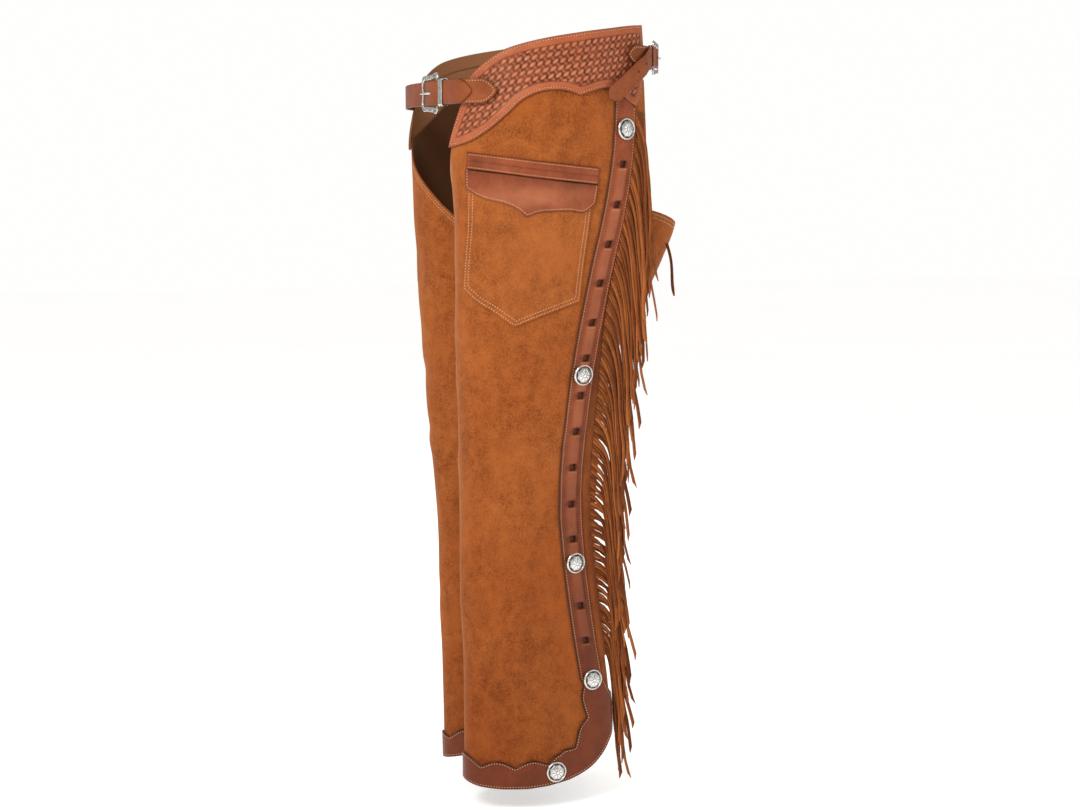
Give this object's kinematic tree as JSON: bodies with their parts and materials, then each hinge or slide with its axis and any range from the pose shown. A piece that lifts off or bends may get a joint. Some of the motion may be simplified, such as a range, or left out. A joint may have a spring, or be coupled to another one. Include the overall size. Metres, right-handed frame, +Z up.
{
  "type": "leather chaps",
  "caption": "Pair of fringed suede riding chaps in worn shape, with tooled leather yokes, laced side strips, pockets and fastened waist belts.",
  "frame": {"origin": "middle of the waist at belt height, where the wearer's hips hold the garment up", "axes": "+Z up; the wearer faces -Y; the wearer's left leg is at +X"},
  "size_m": [0.3722, 0.3552, 1.0676],
  "materials": {
    "suede": "rust tan suede with a short nap",
    "tooled_leather": "smooth tan leather stamped with a basket weave",
    "band_leather": "smooth reddish brown leather",
    "strap_leather": "smooth tan strap leather",
    "silver": "polished silver coloured metal",
    "zip_tape": "brown woven tape"
  },
  "bodies": {
    "root": {"leg_panel_left": "suede", "yoke_left": "tooled_leather", "edge_band_left": "band_leather", "lace_left": "strap_leather", "pocket_patch_left": "suede", "pocket_welt_left": "band_leather", "pocket_flap_left": "band_leather", "fringe_left": "suede", "zip_left": "zip_tape", "thigh_tie_left": "strap_leather", "concho_left_1": "silver", "concho_left_2": "silver", "concho_left_3": "silver", "concho_left_4": "silver", "concho_left_5": "silver", "leg_panel_right": "suede", "yoke_right": "tooled_leather", "edge_band_right": "band_leather", "lace_right": "strap_leather", "pocket_patch_right": "suede", "pocket_welt_right": "band_leather", "pocket_flap_right": "band_leather", "fringe_right": "suede", "zip_right": "zip_tape", "thigh_tie_right": "strap_leather", "concho_right_1": "silver", "concho_right_2": "silver", "concho_right_3": "silver", "concho_right_4": "silver", "concho_right_5": "silver", "front_chape": "strap_leather", "front_strap": "strap_leather", "front_buckle": "silver", "front_prong": "silver", "front_keeper": "silver", "back_chape": "strap_leather", "back_strap": "strap_leather", "back_buckle": "silver", "back_prong": "silver", "back_keeper": "strap_leather"}
  },
  "joints": []
}
